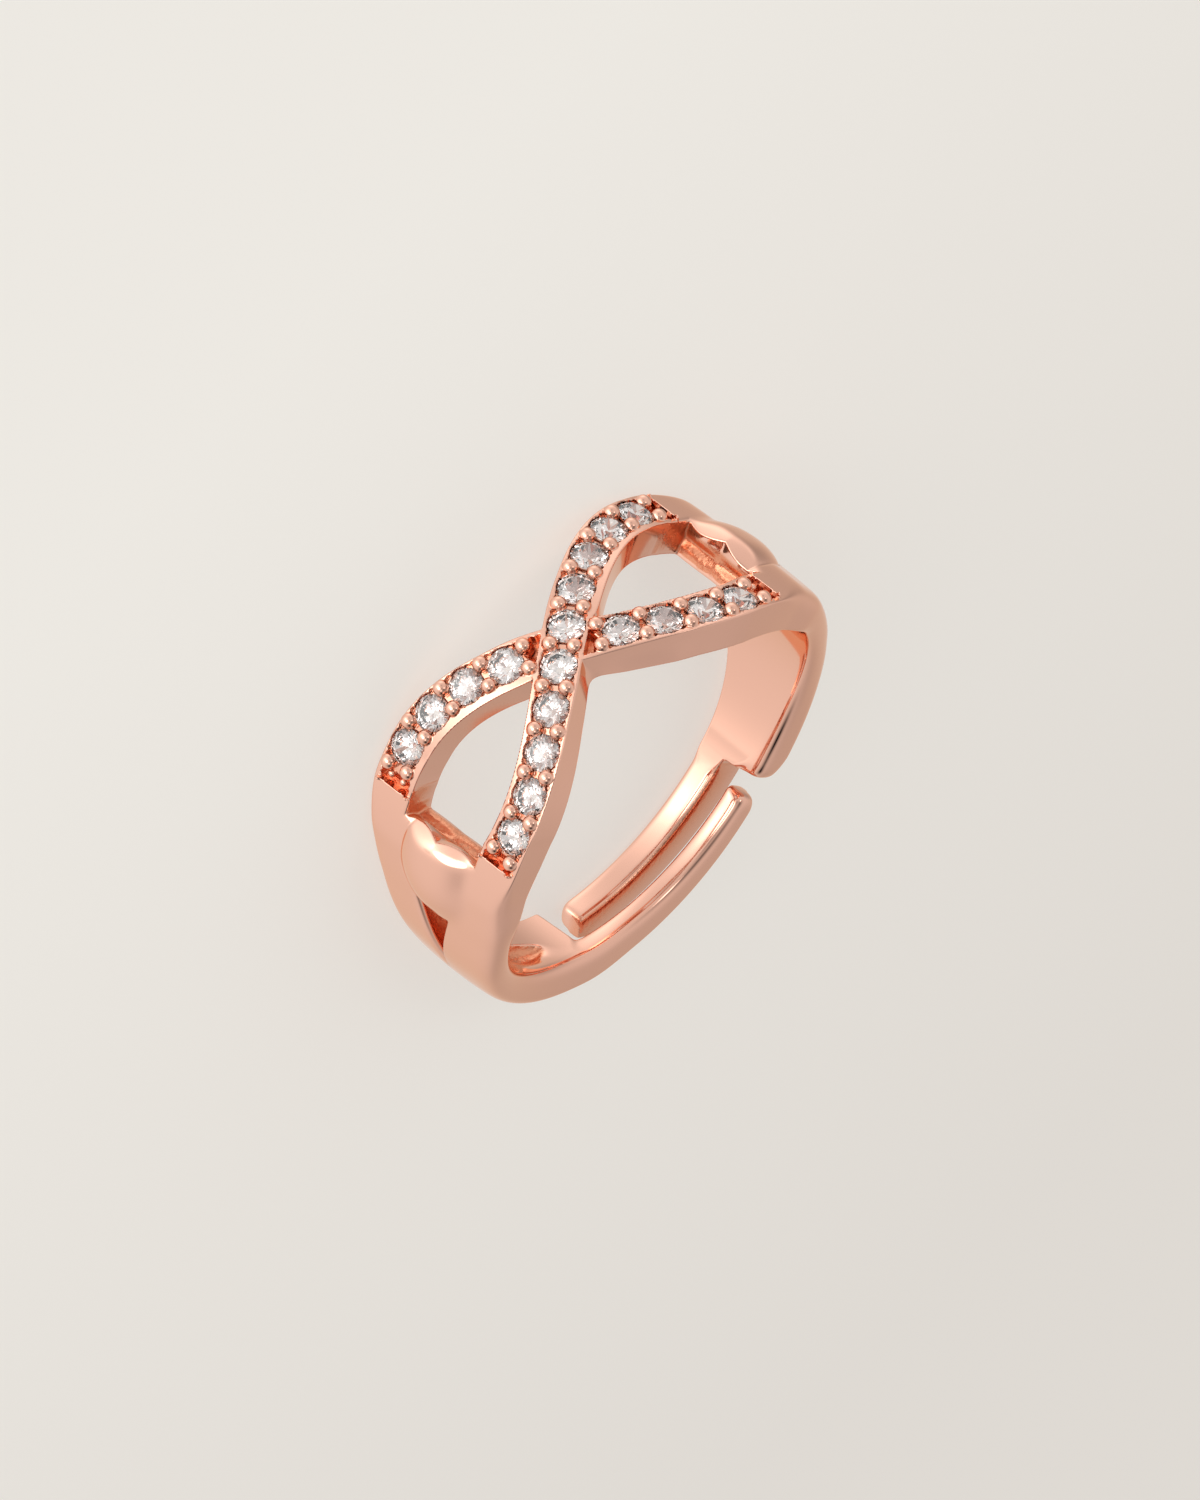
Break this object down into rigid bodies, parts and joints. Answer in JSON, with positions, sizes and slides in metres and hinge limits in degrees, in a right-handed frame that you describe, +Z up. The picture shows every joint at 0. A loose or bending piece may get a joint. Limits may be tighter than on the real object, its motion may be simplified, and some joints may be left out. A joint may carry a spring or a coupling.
{
  "type": "infinity ring",
  "caption": "Adjustable finger ring with stone-set strands that cross in a figure of eight, on a tapered open shank whose tails pass side by side.",
  "frame": {"origin": "on the surface that the ring lies on, under the middle of its box", "axes": "+Z up; the finger goes in along +Z, tipped 9 degrees towards +Y; the crossing of the strands faces -Y"},
  "size_m": [0.0198, 0.0206, 0.008],
  "materials": {
    "rose_gold": "polished rose gold plate over cast silver",
    "clear_stone": "faceted and polished"
  },
  "bodies": {
    "root": {"ring_band": "rose_gold", "stone_over_1": "clear_stone", "stone_over_2": "clear_stone", "stone_over_3": "clear_stone", "stone_over_4": "clear_stone", "stone_over_5": "clear_stone", "stone_over_6": "clear_stone", "stone_over_7": "clear_stone", "stone_over_8": "clear_stone", "stone_over_9": "clear_stone", "stone_over_10": "clear_stone", "stone_under_1": "clear_stone", "stone_under_2": "clear_stone", "stone_under_3": "clear_stone", "stone_under_4": "clear_stone", "stone_under_5": "clear_stone", "stone_under_6": "clear_stone", "stone_under_7": "clear_stone", "stone_under_8": "clear_stone"}
  },
  "joints": []
}
